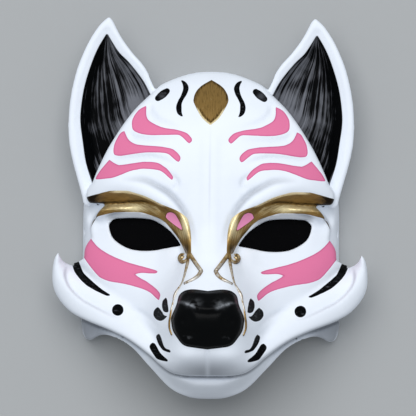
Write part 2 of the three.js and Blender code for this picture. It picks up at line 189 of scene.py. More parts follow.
EAR_INNER = [
    (103.7, 190.5), (99.7, 187.5), (93.5, 175.5), (87.4, 165.6), (78.3, 153.7),
    (70.2, 144.8), (64.1, 135.8), (60, 125.9), (55.9, 117.9),
]
EAR_ROOT = [(55.9, 117.9), (52, 108), (84, 66), (106, 20), (120, 1), (127.4, 3)]
CUP_OUTER = [
    (119, 24.8), (125.2, 44.2), (128.4, 64.2), (131.1, 85.1), (130.3, 102),
    (127, 122), (120.2, 144.3), (113.4, 160.3), (105, 174.4),
]
CUP_INNER = [
    (105, 174.4), (98.5, 163.5), (92.3, 154.5), (83.2, 145.6), (74.1, 134.7), (67, 124.8), (60.9, 112.9),
]
CUP_ROOT = [(60.9, 112.9), (40, 100), (106, 4), (119, 24.8)]
EYE_UPPER = [
    (28.2, -37.8), (38.9, -23.9), (54.1, -13.6), (64.2, -11.2), (77.2, -10.5),
    (87.2, -10.9), (96.2, -12), (101.7, -17.6),
]
EYE_LOWER = [(101.7, -17.6), (96.6, -31.6), (79.4, -41.8), (58.6, -43.2), (43.7, -40.6), (28.2, -37.8)]
NOSE_PAD = [
    (0, -82.4), (13, -80.9), (19.8, -81.4), (24.4, -83), (28.9, -87.4), (31.3, -96.6), (36.1, -108),
    (36.3, -114), (34.5, -122.4), (29.8, -129.8), (25.8, -134.8), (22, -137.2), (17, -138.4), (0, -140.6),
]

ARCH_STEPS = 18
ARCH = [
    (SHELL_HALF_WIDTH * math.sin(turn), SHELL_MIDDLE + SHELL_REACH * math.cos(turn))
    for turn in (step * math.pi / 2 / ARCH_STEPS for step in range(ARCH_STEPS))
]
FACE = across(np.vstack([
    trace(CROWN, EAR_SEAM, BROW_TIP, TEMPLE, CHEEK_EDGE, TUFT_NOTCH, TUFT_BACK, MOUTH_LINE), [MOUTH_LINE[-1]],
]))
SHELL = across(np.vstack([ARCH, trace(SHELL_SIDE, JAW_EDGE), [JAW_EDGE[-1]]]))
EAR = trace(EAR_OUTER, EAR_INNER, EAR_ROOT)
CUP = trace(CUP_OUTER, CUP_INNER, CUP_ROOT)
EYE = trace(EYE_UPPER, EYE_LOWER)
NOSE = across(smooth(NOSE_PAD))

# Paint

GEM = across(smooth([
    (0, 128.2), (5.8, 124.8), (11.6, 120.6), (15.6, 115), (17.2, 110), (17, 105), (10.8, 93.2),
    (5.8, 87.2), (0, 82.6),
]))
STRIPES = [
    trace(
        [(64.4, 101.8), (69, 99.6), (73, 96.6), (76.4, 92), (78.4, 87.6), (78.8, 82.6), (78.2, 78.6),
         (76.2, 76.2)],
        [(76.2, 76.2), (71.8, 74.2), (65.8, 72.8), (55.8, 72.2), (35.8, 72.8), (30.8, 72.4), (27.2, 69.8),
         (21.8, 64.8), (19.8, 65), (18.2, 67.2), (19, 70), (23.8, 74.6), (32.8, 77.6), (45.8, 79.6),
         (52.8, 81.8), (61.4, 86.6), (64, 90.5), (64.8, 96), (64.4, 101.8)],
    ),
    trace(
        [(86.2, 76.2), (89.8, 74.4), (92.6, 70.4), (95.6, 64.4), (96.8, 59.4), (97, 55.4), (96, 52.4),
         (93.6, 51.6)],
        [(93.6, 51.6), (88.6, 51.4), (77, 53.2), (64.6, 54.8), (48.6, 54.8), (42.6, 53.8), (39, 51.4),
         (32.6, 46), (30.2, 46.8), (29.4, 50), (31.4, 53.6), (36.6, 58), (42.6, 59.8), (50.6, 61),
         (68.6, 62.2), (74.6, 63.2), (79.6, 65.6), (82.6, 68.6), (84.6, 72.4), (86.2, 76.2)],
    ),
    trace(
        [(101, 47.4), (110.4, 36.2), (114.8, 28.6), (113.4, 27.6), (102.4, 28.6), (95.4, 30), (80.4, 35.8),
         (72.4, 37.8), (65.4, 38.6), (52.4, 37.6), (46.4, 34.8), (39.4, 28.8), (37.4, 27.8), (36.6, 29.4),
         (37, 31.4), (42.4, 38.4), (50.4, 43.8), (55.4, 45.2), (67.4, 45.4), (87.4, 42.4), (93.4, 42.8),
         (101, 47.4)],
    ),
]
CHEEK_BAND = trace(
    [(119.4, -30.8), (117.8, -33.8), (109.8, -41.8), (97.8, -48.6), (81.6, -55), (68, -58.7), (54.6, -62.2),
     (51, -64.2)],
    [(51, -64.2), (55, -65.8), (67.6, -65.4), (74.4, -67)],
    [(74.4, -67), (68, -71), (61.6, -74.4), (52.4, -81.2), (48.4, -86.2), (48.8, -90.2)],
    [(48.8, -90.2), (50.4, -91.8), (59.4, -84.4), (69.4, -80.4), (84.4, -76.6), (99.6, -74.2), (106.6, -71.8),
     (111.6, -68.8), (119.6, -59.8), (127.6, -49)],
    [(127.6, -49), (126.4, -40.8), (121.8, -32.4), (119.4, -30.8)],
)
DROP = loop([
    (43.6, -8.2), (42.2, -5.6), (39.2, -4.6), (36.2, -5.4), (33.2, -8), (28.6, -16.6), (27.2, -21), (28, -22),
    (39, -14.2), (43.6, -10),
])
GILDING = trace(
    [(124.8, 9.2), (103.4, 15), (98.4, 15.8), (85.4, 16), (78.4, 15), (63.2, 10.2), (48.2, 2.8), (33.2, -3),
     (24.2, -9), (21.6, -13), (19, -24), (18.2, -40), (18.4, -46)],
    [(18.4, -46), (23.2, -45)],
    [(23.2, -45), (30.4, -31), (42, -16.6), (46, -13.2), (52, -9.8), (65.2, -5.4), (72.2, -4.2), (88.2, -4.4),
     (97.2, -5.2), (110.2, -8.2), (114, -10.2), (119, -17.8), (120.4, -21.8)],
    [(120.4, -21.8), (120.6, -17.8), (113.2, -3.2), (110.2, -0.2), (104.4, 3.2)],
    [(104.4, 3.2), (119.4, 3.6), (123, 5), (124.8, 9.2)],
)
# Knots [x, y, half width] of brushed strokes
STROKE = smooth([
    (30.4, 127.4, 0.5), (27.2, 124.4, 2), (25.4, 120, 2.8), (26.4, 115, 2.6), (28.8, 110, 2.1),
    (31.2, 105, 2.3), (32, 100, 2.8), (31.2, 95.2, 2.3), (28.4, 91.4, 0.8),
])
OVAL = smooth([(44.4, 116.5, 3), (46.6, 114.7, 3.7), (48.8, 112.9, 3.9), (51, 111.1, 3.7), (53.2, 109.3, 3)])
CHEEK_STROKE = trace(
    [(138.6, -55.6), (131.6, -54.8)],
    [(131.6, -54.8), (127.6, -64), (123.6, -68.8), (109.4, -80.8), (98.8, -87.6)],
    [(98.8, -87.6), (100.4, -88.6), (104.4, -88), (119.4, -80.8), (125.4, -76.4), (130.6, -71.4),
     (134.6, -66.4), (137.2, -61), (138.6, -55.6)],
)
DOT = (91.2, -102.6, 5.8)
WHISKERS = [
    loop([
        (42.4, -89.6), (45.4, -92.6), (46.2, -97.2), (45.4, -101.2), (43.8, -103.6), (41.2, -104.2),
        (39.2, -103), (40.8, -92.2),
    ]),
    loop([
        (50.4, -98.8), (53.8, -101.8), (55, -106.2), (53.4, -109.8), (50.2, -112.2), (46.2, -112.6),
        (42.8, -110.6), (40.4, -107.6), (43.4, -107.2), (47.4, -101.8),
    ]),
    loop([
        (49.2, -125.6), (51.8, -127.8), (51.4, -131.2), (49.8, -135.2), (47.2, -139.2), (44.2, -142.2),
        (37.6, -144.2), (36.8, -142.6), (38.2, -141.2), (41.6, -140.2), (44.2, -136.6), (47.2, -127.8),
    ]),
    loop([
        (55.4, -134.6), (57.8, -136.8), (58, -140.4), (53.2, -147.8), (49.8, -151.2), (41.6, -153.2),
        (39.6, -152.4), (40.8, -150.4), (47.2, -144.8), (52.4, -136.2),
    ]),
]
# Raised gold lines, as knots [x, y, half width]
SCROLLS = [
    [(19.8, -46.5, 2.4), (20.8, -50.8, 2.2), (23.4, -53.6, 2.1), (26.6, -54, 2.2), (29, -52, 2.2),
     (29.2, -49, 2.1), (27.4, -46.8, 1.8), (25.2, -46.8, 1.3)],
    [(26.2, -50.8, 2.6), (26.8, -50.2, 2.6)],
    [(19.6, -46, 2.4), (21, -55, 1.9), (24.2, -69, 1.2), (26.6, -76, 1.1), (29.6, -81, 1.5),
     (31.8, -85, 1.9), (33.2, -88.6, 1.7), (34.2, -93, 1.1), (36, -101, 1.2), (37, -108, 1.3),
     (37.8, -114.2, 1.4), (37.6, -120.2, 1.3), (35.4, -126.6, 1.1)],
    [(19.2, -46, 2.2), (14.4, -53, 2.1), (7.2, -62.8, 2.1)],
    [(7.2, -62.8, 2.1), (9.6, -67, 2.1), (14.4, -71, 2), (23.6, -75.4, 1.6)],
]

# Forms

SKULL = dict(half_width=148, up=118, down=260, middle=25, depth=102)
SHELL_DEPTH = 84
JAW = dict(
    depth=126, half_width=130, power=1.25, round=16, drop=24, top=-100, dip=15, dip_width=52,
    join=6, side=10, side_run=30,
)
REAR_EDGE = dict(chin=62, run=70, top=-95, fade=30)
MUZZLE = profile([
    (40, 0, 14), (0, 4, 15), (-25, 9, 17), (-50, 23, 20), (-70, 45, 26), (-85, 66, 31),
    (-100, 80, 35), (-115, 84, 38), (-130, 81, 39), (-150, 76, 42), (-172, 70, 46),
])
MUZZLE_SHOULDER = dict(width=1.3, power=4.5)
# Soft mounds, or hollows where the height is below 0, as [x, y, height, half width, half length]
EYE_SOCKET = (78, -34, -14, 40, 30)
NOSTRIL = (22, -112, -5, 6, 6)
NOSE_FOLD = (19, -128, -3, 8, 4)
LIP_PAD = (21, -152, 4, 15, 11)
TEMPLE_BULGE = (124, -14, 7, 4, 9)
# Knots [x, y, height, width] of the brow's crest
BROW_CREST = smooth([
    (120, 14, 1, 8), (112, 17, 3, 9), (98, 22, 5, 10), (80, 22, 6, 11), (62, 15, 6, 11),
    (46, 6, 5.5, 8), (34, -1, 5, 6), (26, -9, 4.5, 5), (22, -20, 4, 4), (20, -34, 3, 3.5), (19, -46, 1, 3),
])
# Knots [x, y, drop, width] of the brow's underside
BROW_EDGE = smooth([
    (30, -78, 0, 8), (25.5, -60, 4, 8), (21.6, -46, 7, 9), (21.8, -34, 9, 12), (23.6, -24, 10, 14),
    (27.4, -14, 11, 15), (33.4, -6.4, 12, 13), (40.6, -1.2, 13, 9.5), (45.4, 1.6, 14, 6.5),
    (51, 4.4, 16, 4), (60, 8.6, 20, 4), (69.7, 12.5, 22, 7), (84.7, 15.6, 20, 11), (104.9, 14.4, 14, 10.5),
    (123.3, 9.2, 3, 8),
])[::-1]
BROW_FALL = dict(depth=15, low=-75, rise=45, start=14, reach=16, round=0.08, fade=45)
# Knots [x, y, height, width] of the roll over the lid
LID_ROLL = smooth([
    (108, -4, 4, 4), (97, -2, 5, 4.2), (84, -1, 5.5, 4.2), (74, -1, 5.5, 4.2), (62, -2.5, 5.5, 4.4),
    (52, -6, 5, 4.6), (46, -9.6, 3, 4.6), (40, -14, 0, 4),
])
LID_EDGE = smooth([
    (112.6, -10.2), (97.5, -5.5), (84.5, -4.4), (74.5, -4.5), (64.4, -5.7), (54.3, -8.6),
    (46.2, -13), (39.1, -18.4), (31.9, -25.8), (26.8, -32.8), (23.7, -40.8),
])
LID_STEP = dict(depth=10, width=4.5, fade=12)
# Knots [x, y, height, width] of the ridge from the muzzle to the tip of the tuft
JOWL = smooth([
    (30, -156, 140, 14), (45, -148, 127, 16), (62, -136, 110, 18), (85, -119, 90, 19),
    (108, -104, 74, 18), (130, -90, 63, 16), (146, -74, 58, 12), (153, -58, 58, 7), (151.7, -46, 61, 3),
])
JOWL_CROWN = dict(fall=9, join=8)
# Knots [x, y, share of the depth] of the fold along the tuft
TUFT_LOCK = smooth([
    (144, -58, 0), (146, -67, 1), (143.5, -77, 1), (137, -86, 1), (127, -94.5, 1),
    (117, -100, 1), (106, -105.5, 0.8), (97, -110, 0.4), (88, -113, 0),
])
LOCK_STEP = dict(depth=5.5, width=2, fade=11)
NOSE_PAD_FORM = dict(height=4, round=3.4, margin=3)
# Knots [x, y, height] of the ledge over the nostrils
NOSE_LEDGE = smooth([
    (34, -93, 0), (27, -94.4, 1), (20, -96, 3), (13, -98.6, 3.2), (7, -100.6, 2.2), (-4, -101.6, 1.6),
])
LEDGE_FORM = dict(back=7, front=3, fade=14, margin=4)
LIP = dict(fall=20, top=-140, run=32, half_width=78, side=40, power=1.4)
LIP_SEAM = dict(depth=2.2, half_width=1.8, top=-139, run=3)
KEEL = dict(height=1.6, flat=4, side=9, top=84, top_run=20, low=-60, low_run=24)
GEM_FORM = dict(rim=0.5, rim_width=1.4, sink=1.4, side=1.8)
STRIPE_FORM = dict(sink=0.5, side=0.9)
EAR_FORM = dict(
    height=43, lean=0.04, bevel=3, bevel_width=7, bevel_round=0.3, step=4, step_width=2,
    dish=9, dish_width=11,
)
# Knots [x, y, depth] of the groove over the brow, and of the shallow hollows between the stripes
BROW_GROOVE = smooth([
    (90, 28.2, 0), (78, 28.6, 1.2), (70.4, 28.2, 1.8), (60.4, 25.6, 2.4), (44.2, 16.8, 3), (37.2, 11.4, 3),
    (31.2, 5, 3), (26.2, -2, 3), (21.6, -10, 2.6), (18.4, -19, 2.2), (16.8, -28, 1.6), (15.6, -42, 0),
])
GROOVE_FORM = dict(depth=1.4, half_width=3)
HOLLOWS = [
    smooth([(59.4, 104, 0), (60, 99.6, 0.8), (59, 95.6, 1), (55.8, 91.8, 1), (50.8, 88.2, 1), (30.8, 81, 0)]),
    smooth([(82, 77, 0), (77.8, 71.6, 0.8), (72.6, 69.6, 1), (60.6, 68.6, 1), (30.6, 70, 0)]),
    smooth([(100, 50, 0), (92, 48.6, 0.8), (76, 50, 1), (56, 50.4, 1), (34, 44, 0)]),
    smooth([
        (82.3, -98.5, 0), (73, -102.4, 0.7), (64.3, -106.4, 0.8), (54.3, -114.3, 0.7), (48.3, -122.2, 0),
    ]),
    smooth([(42.4, 35.8, 0), (35.4, 29.8, 0.8), (32.2, 25, 1), (33.2, 21, 0.8), (38.2, 17.8, 0)]),
]
HOLLOW_FORM = dict(depth=2.6, half_width=2.6)
# Radii of the rounded edges and creases
ROUND = dict(face=4, plate=3.5, shell=3, seam=0.6, ear=5, ear_back=4, ear_root=1.5, wall=1, eye=1.6)
PLATE_DEPTH, EAR_DEPTH = 7 * MM, 5 * MM
EAR_BACK = dict(crown=9, rise=22, cup=11)
JAW_GROOVE = dict(depth=3, place=-1.2, half_width=1.6, top=-96, run=8)
CORD_HOLE = dict(y=-25, z=8 * MM, radius=1.8 * MM, beyond=100)
RIM_LIP = 6
GRID = dict(half_width=162, reach=194, height=180)
# How far the lining's points may lie from the hollow, for the mesh and for the paint
LINING_REACH, LINING_PAINT = 0.8, 0.9
# Share of the lining's points that its even surface doesn't need
LINING_THINNED = 0.88
# Points nearer than this, in metres, are one
SAME_POINT = 0.000002


def mound(form, a, y):
    x, middle, height, half_width, half_length = form
    return height * bell((a - x) / half_width) * bell((y - middle) / half_length)


def skull_height(a, y):
    reach = np.where(y > SKULL["middle"], SKULL["up"], SKULL["down"])
    inside = 1 - (a / SKULL["half_width"]) ** 2 - ((y - SKULL["middle"]) / reach) ** 2
    return SKULL["depth"] * np.sqrt(np.maximum(inside, 0))


def face_height(x, y):
    """Height of the carved face over the rim plane."""
    a = np.abs(x)
    shoulder = a / look_up(MUZZLE, y, 2) / MUZZLE_SHOULDER["width"]
    z = skull_height(a, y) + look_up(MUZZLE, y) / (1 + shoulder ** MUZZLE_SHOULDER["power"])
    z += mound(EYE_SOCKET, a, y)
    off, crest = against(BROW_CREST, a, y)
    z += crest[2] * bell(off / crest[3])
    off, edge = against(BROW_EDGE, a, y)
    far = BROW_FALL["depth"] * blend((y - BROW_FALL["low"]) / BROW_FALL["rise"])
    drop = edge[2] + (far - edge[2]) * blend((off - BROW_FALL["start"]) / BROW_FALL["reach"])
    z -= drop * ramp(off / edge[3], BROW_FALL["round"]) * bell(off / BROW_FALL["fade"])
    off, roll = against(LID_ROLL, a, y)
    z += roll[2] * bell(off / roll[3])
    off, _ = against(LID_EDGE, a, y)
    z -= LID_STEP["depth"] * ramp(off / LID_STEP["width"]) * bell(off / LID_STEP["fade"])
    off, band = against(JOWL, a, y)
    z = soft_max(z, band[2] - JOWL_CROWN["fall"] * (off / band[3]) ** 2, JOWL_CROWN["join"])
    off, lock = against(TUFT_LOCK, a, y)
    z -= LOCK_STEP["depth"] * lock[2] * ramp(-off / LOCK_STEP["width"]) * bell(off / LOCK_STEP["fade"])
    nose = depth_inside(NOSE, a, y)
    z += NOSE_PAD_FORM["height"] * blend(nose / NOSE_PAD_FORM["round"])
    off, ledge = against(NOSE_LEDGE, a, y)
    front = ramp(off / LEDGE_FORM["front"])
    step = ledge[2] * bell(np.minimum(off, 0) / LEDGE_FORM["back"]) * (1 - front)
    z += (step - front * bell(off / LEDGE_FORM["fade"])) * blend(nose / LEDGE_FORM["margin"])
    z += (mound(NOSTRIL, a, y) + mound(NOSE_FOLD, a, y)) * blend(nose / NOSE_PAD_FORM["margin"])
    z += mound(LIP_PAD, a, y)
    side = blend((LIP["half_width"] - a) / LIP["side"])
    z -= LIP["fall"] * blend((LIP["top"] - y) / LIP["run"]) ** LIP["power"] * side
    z -= LIP_SEAM["depth"] * bell(a / LIP_SEAM["half_width"]) * blend((LIP_SEAM["top"] - y) / LIP_SEAM["run"])
    off, groove = against(BROW_GROOVE, a, y)
    z -= GROOVE_FORM["depth"] * groove[2] * bell(off / GROOVE_FORM["half_width"])
    for hollow in HOLLOWS:
        off, depth = against(hollow, a, y)
        z -= HOLLOW_FORM["depth"] * depth[2] * bell(off / HOLLOW_FORM["half_width"])
    ends = blend((KEEL["top"] - y) / KEEL["top_run"]) * blend((y - KEEL["low"]) / KEEL["low_run"])
    z += KEEL["height"] * (1 - blend((a - KEEL["flat"]) / KEEL["side"])) * ends
    gem = depth_inside(GEM, a, y)
    z += GEM_FORM["rim"] * bell(gem / GEM_FORM["rim_width"]) - GEM_FORM["sink"] * ramp(gem / GEM_FORM["side"])
    for stripe in STRIPES + [CHEEK_BAND]:
        z -= STRIPE_FORM["sink"] * blend(depth_inside(stripe, a, y) / STRIPE_FORM["side"])
    return z


def shell_height(x, y):
    """Height of the plain shell under the face: temples, side walls and lower jaw."""
    a = np.abs(x)
    up = np.maximum(y - SHELL_MIDDLE, 0) / SHELL_REACH
    dome = SHELL_DEPTH * np.sqrt(np.maximum(1 - (a / SHELL_HALF_WIDTH) ** 2 - up * up, 0))
    dome += mound(TEMPLE_BULGE, a, y)
    chin = JAW["depth"] * np.maximum(1 - (a / JAW["half_width"]) ** 2, 0) ** JAW["power"]
    chin = chin - JAW["dip"] * bell(a / JAW["dip_width"])
    border = 1 - blend(depth_inside(SHELL, a, y) / JAW["round"])
    side = blend((JAW["half_width"] - JAW["side"] - a) / JAW["side_run"])
    lower = soft_max(dome, chin, JAW["join"]) - JAW["drop"] * border * side
    return np.where(y > JAW["top"], dome, lower)


def rear_height(x, y):
    """Height of the lower edge, which rises from the rim plane at the corners of the jaw to the chin."""
    side = blend((SHELL_HALF_WIDTH - np.abs(x)) / REAR_EDGE["run"])
    return REAR_EDGE["chin"] * side * blend((REAR_EDGE["top"] - y) / REAR_EDGE["fade"])


def ear_height(x, y):
    """Height of the ear's front, which dips from a bevelled rim into the cup."""
    cup = depth_inside(CUP, x, y)
    z = EAR_FORM["height"] + EAR_FORM["lean"] * y
    bevel = (cup + EAR_FORM["bevel_width"]) / EAR_FORM["bevel_width"]
    z -= EAR_FORM["bevel"] * ramp(bevel, EAR_FORM["bevel_round"])
    z -= EAR_FORM["step"] * ramp(cup / EAR_FORM["step_width"])
    return z - EAR_FORM["dish"] * blend((cup - 1) / EAR_FORM["dish_width"])


def steepness(height, step):
    gx, gy = np.gradient(height, step)
    return np.clip(np.sqrt(1 + gx * gx + gy * gy), 1, 5)


# The carved body, as values on a grid of points that are positive inside the material


class Carving:
    def __init__(self, step, wall):
        self.step = step
        self.x = (np.arange(int(GRID["half_width"] / step) + 2) - 0.5) * step
        self.y = -GRID["reach"] + np.arange(int(2 * GRID["reach"] / step) + 2) * step
        self.z = (np.arange(int(GRID["height"] / step) + 4) - 1.5) * step
        x, y = np.meshgrid(self.x, self.y, indexing="ij")
        face, ear = face_height(x, y), ear_height(x, y)
        shell = np.maximum(shell_height(x, y), rear_height(x, y) + RIM_LIP)
        in_face, in_shell = depth_inside(FACE, x, y), depth_inside(SHELL, x, y)
        in_ear, in_cup = depth_inside(EAR, x, y), depth_inside(CUP, x, y)

        def under(height, drop=0.0):
            return ((height - drop)[..., None] - self.z) / steepness(height, step)[..., None]

        top = under(face)
        inside_shell = in_shell[..., None]
        plate = soft_min(top, in_face[..., None], ROUND["face"])
        under_plate = soft_max(-under(face, PLATE_DEPTH), inside_shell, ROUND["shell"])
        plate = soft_min(plate, under_plate, ROUND["plate"])
        side = soft_min(under(shell), inside_shell, ROUND["shell"])
        across_groove = bell((in_face - JAW_GROOVE["place"]) / JAW_GROOVE["half_width"])
        groove = JAW_GROOVE["depth"] * across_groove * blend((JAW_GROOVE["top"] - y) / JAW_GROOVE["run"])
        grooved = soft_min(under(shell - groove), inside_shell, ROUND["shell"])
        body = soft_max(plate, grooved, ROUND["seam"])
        crown = EAR_BACK["crown"] * blend(in_ear / EAR_BACK["rise"]) * (1 - blend(in_cup / EAR_BACK["cup"]))
        ear_back = (self.z - (ear - EAR_DEPTH - crown)[..., None]) / steepness(ear, step)[..., None]
        ear_body = soft_min(under(ear), in_ear[..., None], ROUND["ear"])
        ear_body = soft_min(ear_body, ear_back, ROUND["ear_back"])
        body = soft_max(body, ear_body, ROUND["ear_root"])
        full = soft_min(soft_min(top, in_face[..., None], ROUND["face"]), inside_shell, ROUND["face"])
        hollow = soft_max(full, side, ROUND["shell"]) - wall
        body = soft_min(body, -hollow, ROUND["wall"])
        body = soft_min(body, -depth_inside(EYE, x, y)[..., None], ROUND["eye"])
        hole = np.hypot(y[..., None] - CORD_HOLE["y"], self.z - CORD_HOLE["z"]) - CORD_HOLE["radius"]
        body = np.where(x[..., None] > CORD_HOLE["beyond"], np.minimum(body, hole), body)
        self.values = np.minimum(body, self.z - rear_height(x, y)[..., None]).astype(np.float32)
        self.hollow = hollow.astype(np.float32)

    def surface(self):
        """Points and four-sided faces of the surface, for x >= 0."""
        values, solid = self.values, self.values > 0
        corners = [(i, j, k) for i in (0, 1) for j in (0, 1) for k in (0, 1)]
        n = np.array(values.shape) - 1

        def at(array, corner):
            return array[tuple(slice(c, c + m) for c, m in zip(corner, n))]

        count = sum(at(solid, corner).astype(np.int8) for corner in corners)
        cells = np.argwhere((count > 0) & (count < 8))
        index = np.full(n, -1, np.int64)
        index[tuple(cells.T)] = np.arange(len(cells))
        total, crossings = np.zeros((len(cells), 3)), np.zeros(len(cells))
        for a in corners:
            for axis in range(3):
                if a[axis]:
                    continue
                b = tuple(c + (k == axis) for k, c in enumerate(a))
                va, vb = (values[tuple((cells + c).T)].astype(float) for c in (a, b))
                cut = (va > 0) != (vb > 0)
                t = np.where(cut, va / np.where(cut, va - vb, 1), 0)
                point = np.array(a, float) + t[:, None] * (np.array(b) - a)
                total += np.where(cut[:, None], point, 0)
                crossings += cut
        points = cells + total / crossings[:, None]
        faces = []
        for axis in range(3):
            ends = [slice(None)] * 3, [slice(None)] * 3
            ends[0][axis], ends[1][axis] = slice(0, -1), slice(1, None)
            low, high = solid[tuple(ends[0])], solid[tuple(ends[1])]
            edges = np.argwhere(low != high)
            others = [k for k in range(3) if k != axis]
            keep = np.all([(edges[:, k] > 0) & (edges[:, k] < n[k]) for k in others], axis=0)
            edges = edges[keep & (edges[:, 0] > 0)] if axis != 0 else edges[keep]
            u, v = np.eye(3, dtype=int)[others]
            ring = [edges - u - v, edges - v, edges, edges - u]
            quad = np.stack([index[tuple(r.T)] for r in ring], axis=1)
            outward = low[tuple(edges.T)]
            if axis == 1:
                outward = ~outward
            faces.append(np.where(outward[:, None], quad, quad[:, ::-1]))
        origin = np.array([self.x[0], self.y[0], self.z[0]])
        return origin + points * self.step, np.vstack(faces)

    def sample(self, array, points):
        """Values of a grid at points, from the eight grid points around each."""
        place = (points - [self.x[0], self.y[0], self.z[0]]) / self.step
        place = np.clip(place, 0, np.array(array.shape) - 1.001)
        low = place.astype(int)
        t = place - low
        total = 0
        for corner in [(i, j, k) for i in (0, 1) for j in (0, 1) for k in (0, 1)]:
            share = np.prod([t[:, k] if c else 1 - t[:, k] for k, c in enumerate(corner)], axis=0)
            total = total + share * array[tuple((low + corner).T)]
        return total


# Nodes written as expressions


class Value:
    """A socket that takes part in sums."""

    def __init__(self, nodes, socket):
        self.nodes, self.socket = nodes, socket

    def math(self, operation, *others):
        return self.nodes.add("ShaderNodeMath", {"operation": operation}, [self, *others])

    def __add__(self, other):
        return self.math("ADD", other)

    def __sub__(self, other):
        return self.math("SUBTRACT", other)

    def __rsub__(self, other):
        return self.nodes.add("ShaderNodeMath", {"operation": "SUBTRACT"}, [other, self])

    def __mul__(self, other):
        return self.math("MULTIPLY", other)

    __radd__, __rmul__ = __add__, __mul__

    def between(self, low, high):
        """0 below low, 1 above high, and straight between them."""
        settings = {"interpolation_type": "LINEAR", "clamp": True}
        sockets = {"Value": self, "From Min": low, "From Max": high}
        return self.nodes.add("ShaderNodeMapRange", settings, sockets)


class Nodes:
    """The node tree of one material."""

    def __init__(self, name):
        self.material = bpy.data.materials.new(name)
        self.material.use_nodes = True
        self.tree = self.material.node_tree
        self.shader = next(n for n in self.tree.nodes if n.type == "BSDF_PRINCIPLED")

    def add(self, kind, settings, inputs, output=0):
        node = self.tree.nodes.new(kind)
        for key, value in settings.items():
            setattr(node, key, value)
        for key, value in inputs.items() if isinstance(inputs, dict) else enumerate(inputs):
            self.link(value, node.inputs[key])
        return Value(self, node.outputs[output])

    def link(self, value, socket):
        if isinstance(value, Value):
            self.tree.links.new(value.socket, socket)
        else:
            socket.default_value = value

    def mix(self, share, a, b):
        """Colour a where the share is 0 and b where it is 1."""
        return self.add("ShaderNodeMix", {"data_type": "RGBA"}, {0: share, 6: a, 7: b}, 2)

    def attribute(self, name):
        return self.add("ShaderNodeAttribute", {"attribute_name": name}, [], "Fac")

    def noise(self, scale, detail=2.0, vector=None, stretch=None, roughness=0.5):
        if vector is None:
            vector = self.add("ShaderNodeTexCoord", {}, [], "Object")
        if stretch:
            vector = self.add("ShaderNodeMapping", {}, {"Vector": vector, "Scale": stretch})
        inputs = {"Vector": vector, "Scale": scale, "Detail": detail, "Roughness": roughness}
        return self.add("ShaderNodeTexNoise", {}, inputs, "Fac")

    def finish(self, **sockets):
        for name, value in sockets.items():
            self.link(value, self.shader.inputs[name.replace("_", " ")])
        return self.material


def linear(red, green, blue, alpha=1.0):
    """Screen values from 0 to 255 as scene values."""
    def one(value):
        value /= 255
        return value / 12.92 if value <= 0.04045 else ((value + 0.055) / 1.055) ** 2.4

    return (one(red), one(green), one(blue), alpha)


# Settings


def length(name, description, default):
    return FloatProperty(name=name, description=description, default=default, unit="LENGTH")


def colour(name, description, *screen):
    default = linear(*screen)[:3]
    return FloatVectorProperty(name=name, description=description, subtype="COLOR", default=default)


class MaskSizes(bpy.types.PropertyGroup):
    detail: length("Detail", "Distance between the points of the carving", 0.00122)
    wall: length("Wall", "Thickness of the cast wall", 0.004)


class MaskColours(bpy.types.PropertyGroup):
    white: colour("White", "Ground coat", 240, 246, 255)
    pink: colour("Pink", "Stripes", 232, 128, 168)
    black: colour("Black", "Nose, ears and strokes", 5, 6, 7)
    gold: colour("Gold", "Gilding", 146, 116, 66)
    floor: colour("Floor", "Floor", 172, 174, 175)


def deselect():
    bpy.ops.object.select_all(action="DESELECT")


def activate(piece):
    deselect()
    piece.select_set(True)
    bpy.context.view_layer.objects.active = piece


def apply_modifier(piece, kind, name, **settings):
    activate(piece)
    modifier = piece.modifiers.new(name, kind)
    for key, value in settings.items():
        setattr(modifier, key, value)
    bpy.ops.object.modifier_apply(modifier=modifier.name)


def per_point(piece, what):
    """The place, "co", or the direction, "normal", of each of a piece's points."""
    values = np.zeros(len(piece.data.vertices) * 3)
    piece.data.vertices.foreach_get(what, values)
    return values.reshape(-1, 3)


def store(piece, name, values):
    attribute = piece.data.attributes.new(name, "FLOAT", "POINT")
    attribute.data.foreach_set("value", np.asarray(values, np.float32))


def close_seam(half):
    """Puts the open edge of a half onto the mirror line."""
    mesh = bmesh.new()
    mesh.from_mesh(half.data)
    for point in mesh.verts:
        if point.is_boundary:
            point.co.x = 0
    mesh.to_mesh(half.data)
    mesh.free()


def weld(piece):
    """Joins points that lie together and turns all faces outwards."""
    activate(piece)
    bpy.ops.object.mode_set(mode="EDIT")
    bpy.ops.mesh.select_all(action="SELECT")
    bpy.ops.mesh.remove_doubles(threshold=SAME_POINT)
    bpy.ops.mesh.normals_make_consistent(inside=False)
    bpy.ops.object.mode_set(mode="OBJECT")


def brush(line, x, y):
    off, values = against(line, x, y)
    return values[2] - np.abs(off)


def ink_depth(x, y):
    """How deep a point lies inside the black marks."""
    dot = DOT[2] - np.hypot(x - DOT[0], y - DOT[1])
    marks = [brush(STROKE, x, y), brush(OVAL, x, y), depth_inside(CHEEK_STROKE, x, y), dot]
    return np.max(marks + [depth_inside(mark, x, y) for mark in WHISKERS], axis=0)


def nose_highlight(x, y):
    """Painted highlight along the ledge of the nose, in a spot over it and in a line below the nostrils."""
    off, ledge = against(NOSE_LEDGE, x, y)
    painted_highlight = 0.3 * ledge[2] * bell((off + 0.6) / 1.3) * blend((x - 7) / 5)
    painted_highlight += 0.35 * bell(np.hypot(x - 13, (y + 95) * 1.6) / 6)
    return painted_highlight + 0.8 * bell(np.hypot((x - 20) / 3, y + 128.4) / 0.9)


